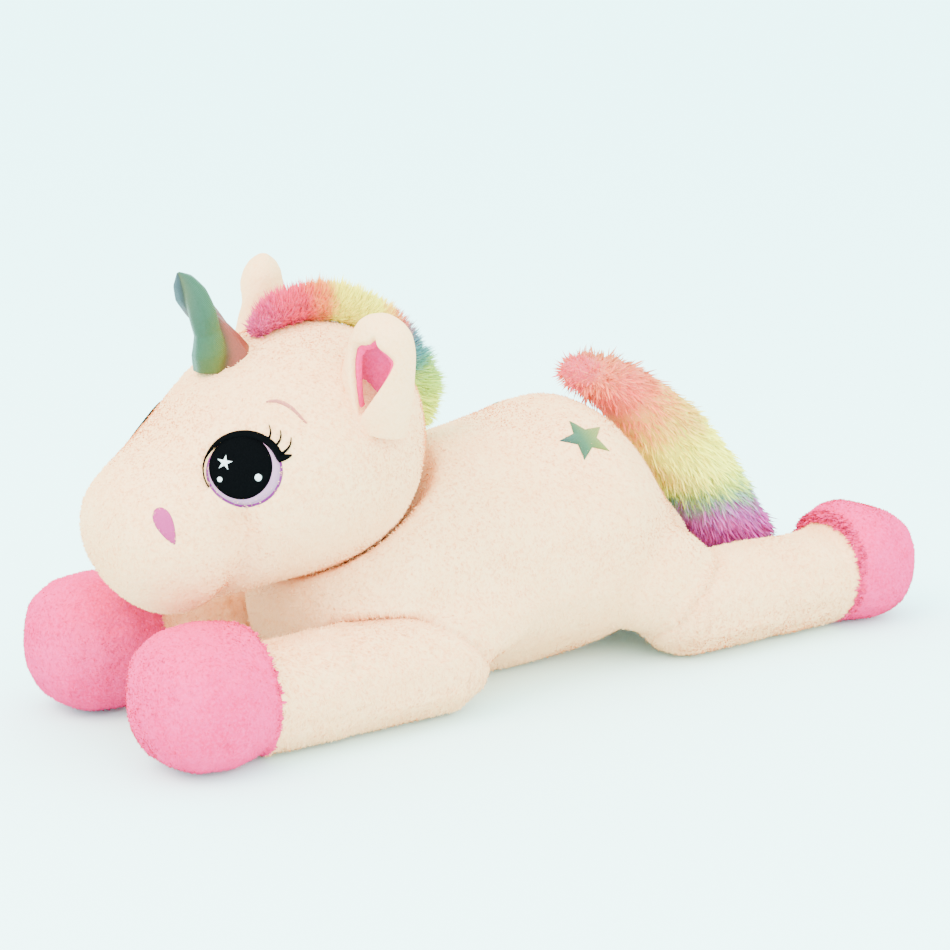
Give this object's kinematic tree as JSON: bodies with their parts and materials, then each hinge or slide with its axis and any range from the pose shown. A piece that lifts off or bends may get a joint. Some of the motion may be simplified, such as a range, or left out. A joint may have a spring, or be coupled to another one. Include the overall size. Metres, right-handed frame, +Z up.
{
  "type": "plush unicorn",
  "caption": "Plush unicorn lying on its belly, with stuffed legs and hooves, embroidered eyes, twisted shiny horn, long-pile rainbow mane and tail.",
  "frame": {"origin": "on the flat underside of the belly panel, in the middle plane, 400 mm behind the front hoof tips and 389 mm ahead of the left hind hoof tip", "axes": "+Z up, nose towards -Y, the unicorn's own left side towards +X"},
  "size_m": [0.3232, 0.7894, 0.3618],
  "materials": {
    "cream_plush": "short soft pile",
    "pink_plush": "short soft pile",
    "long_pile": "long pile, dyed in rainbow bands",
    "shiny_fabric": "shiny colour-shifting fabric",
    "lilac_thread": "satin stitch",
    "black_thread": "satin stitch",
    "stuffing": "loose polyester fibre"
  },
  "bodies": {
    "torso": {"belly_panel": "cream_plush", "star_patch_left": "shiny_fabric", "star_patch_right": "shiny_fabric", "torso_cover_left": "cream_plush", "torso_cover_right": "cream_plush", "torso_stuffing": "stuffing"},
    "head": {"brow_left": "lilac_thread", "brow_right": "lilac_thread", "ear_lining_left": "pink_plush", "ear_lining_right": "pink_plush", "ear_outer_left": "cream_plush", "ear_outer_right": "cream_plush", "eye_iris_left": "lilac_thread", "eye_iris_right": "lilac_thread", "eye_lid_left": "black_thread", "eye_lid_right": "black_thread", "eye_pupil_left": "black_thread", "eye_pupil_right": "black_thread", "head_cover_left": "cream_plush", "head_cover_right": "cream_plush", "head_stuffing": "stuffing", "horn_cover": "shiny_fabric", "horn_stuffing": "stuffing", "mane": "long_pile", "nostril_left": "lilac_thread", "nostril_right": "lilac_thread"},
    "front_leg_left": {"front_hoof_cover_left": "pink_plush", "front_leg_cover_left": "cream_plush", "front_leg_stuffing_left": "stuffing"},
    "front_leg_right": {"front_hoof_cover_right": "pink_plush", "front_leg_cover_right": "cream_plush", "front_leg_stuffing_right": "stuffing"},
    "hind_leg_left": {"hind_hoof_cover_left": "pink_plush", "hind_leg_cover_left": "cream_plush", "hind_leg_stuffing_left": "stuffing"},
    "hind_leg_right": {"hind_hoof_cover_right": "pink_plush", "hind_leg_cover_right": "cream_plush", "hind_leg_stuffing_right": "stuffing"},
    "tail": {"tail_panel_left": "long_pile", "tail_panel_right": "long_pile"}
  },
  "joints": [
    {"name": "neck_nod", "type": "hinge", "parent": "torso", "child": "head", "pos_m": [0, -0.15, 0.15], "axis": [-1, 0, 0], "range_deg": [0, 12], "stiffness_Nm_per_rad": 1},
    {"name": "front_leg_swing_left", "type": "hinge", "parent": "torso", "child": "front_leg_left", "pos_m": [0.087, -0.135, 0.043], "axis": [0, 0, 1], "range_deg": [0, 20], "stiffness_Nm_per_rad": 0.3},
    {"name": "front_leg_swing_right", "type": "hinge", "parent": "torso", "child": "front_leg_right", "pos_m": [-0.087, -0.135, 0.043], "axis": [0, 0, -1], "range_deg": [0, 20], "stiffness_Nm_per_rad": 0.3},
    {"name": "hind_leg_swing_left", "type": "hinge", "parent": "torso", "child": "hind_leg_left", "pos_m": [0.087, 0.125, 0.043], "axis": [0, 0, -1], "range_deg": [0, 20], "stiffness_Nm_per_rad": 0.3},
    {"name": "hind_leg_swing_right", "type": "hinge", "parent": "torso", "child": "hind_leg_right", "pos_m": [-0.087, 0.125, 0.043], "axis": [0, 0, 1], "range_deg": [-12, 8], "stiffness_Nm_per_rad": 0.3},
    {"name": "tail_lift", "type": "hinge", "parent": "torso", "child": "tail", "pos_m": [0, 0.07, 0.237], "axis": [1, 0, 0], "range_deg": [0, 55], "stiffness_Nm_per_rad": 0.1}
  ]
}
